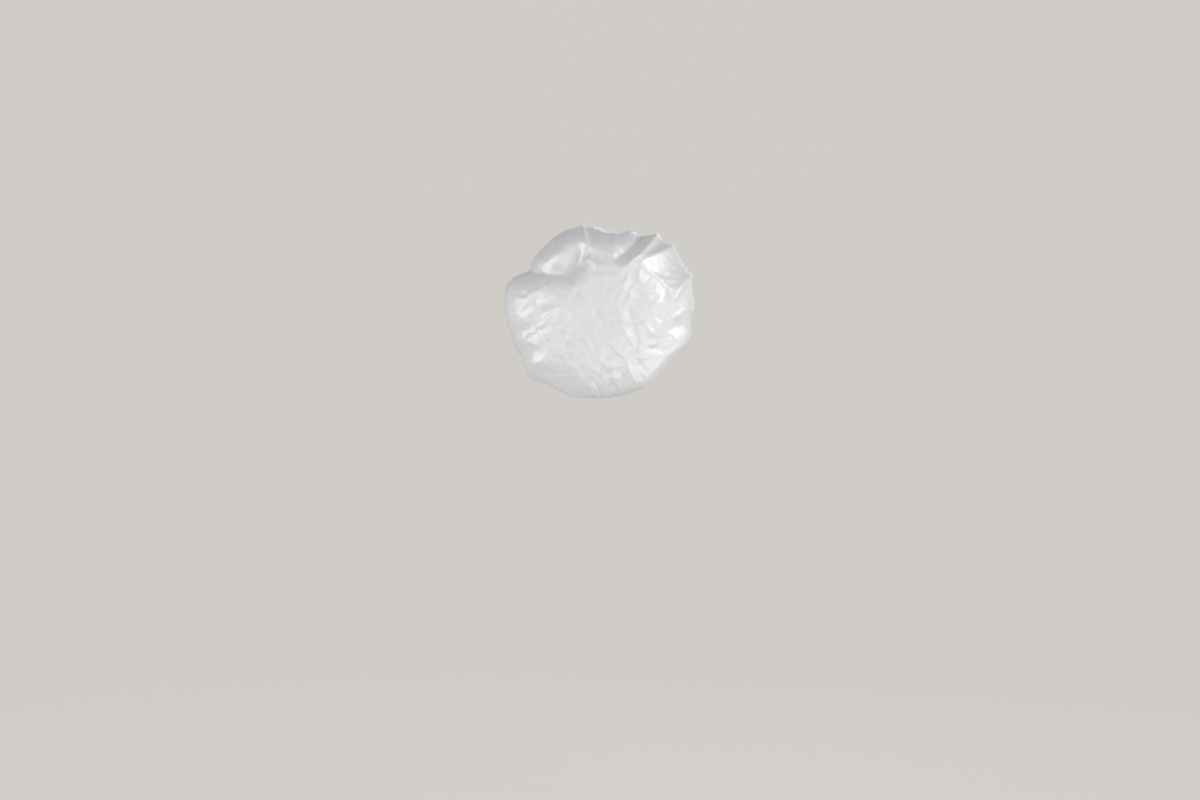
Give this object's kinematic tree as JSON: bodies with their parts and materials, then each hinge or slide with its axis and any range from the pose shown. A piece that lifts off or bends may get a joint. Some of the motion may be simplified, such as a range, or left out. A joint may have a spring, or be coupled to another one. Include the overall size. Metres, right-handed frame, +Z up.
{
  "type": "hair bonnet",
  "caption": "Round double-layer satin hair bonnet, gathered into a narrow elastic casing and shown in the puffed, folded shape that it has when worn.",
  "frame": {"origin": "centre of the head opening, in the plane of the casing's folded edge", "axes": "+Z up as the bonnet is worn, +Y the way the wearer faces, +X to the wearer's right, which is the right side as seen from behind"},
  "size_m": [0.3176, 0.2179, 0.2795],
  "materials": {
    "satin": "white polyester satin, glossy along the yarn",
    "lining_satin": "off-white satin, softer gloss",
    "elastic_knit": "woven elastic, matt and ribbed",
    "sewing_thread": "spun polyester thread",
    "label_tape": "blank woven tape, smooth"
  },
  "bodies": {
    "bonnet": {"outer_crown": "satin", "lining": "lining_satin", "rim_casing": "satin", "elastic_band": "elastic_knit", "elastic_join_stitch": "sewing_thread", "casing_needle_thread": "sewing_thread", "casing_bobbin_thread": "sewing_thread"},
    "label": {"care_label": "label_tape", "label_stitch": "sewing_thread"}
  },
  "joints": [
    {"name": "label_flap", "type": "hinge", "parent": "bonnet", "child": "label", "pos_m": [0, -0.08047, -0.05248], "axis": [-1, 0, 0], "range_deg": [0, 150]}
  ]
}
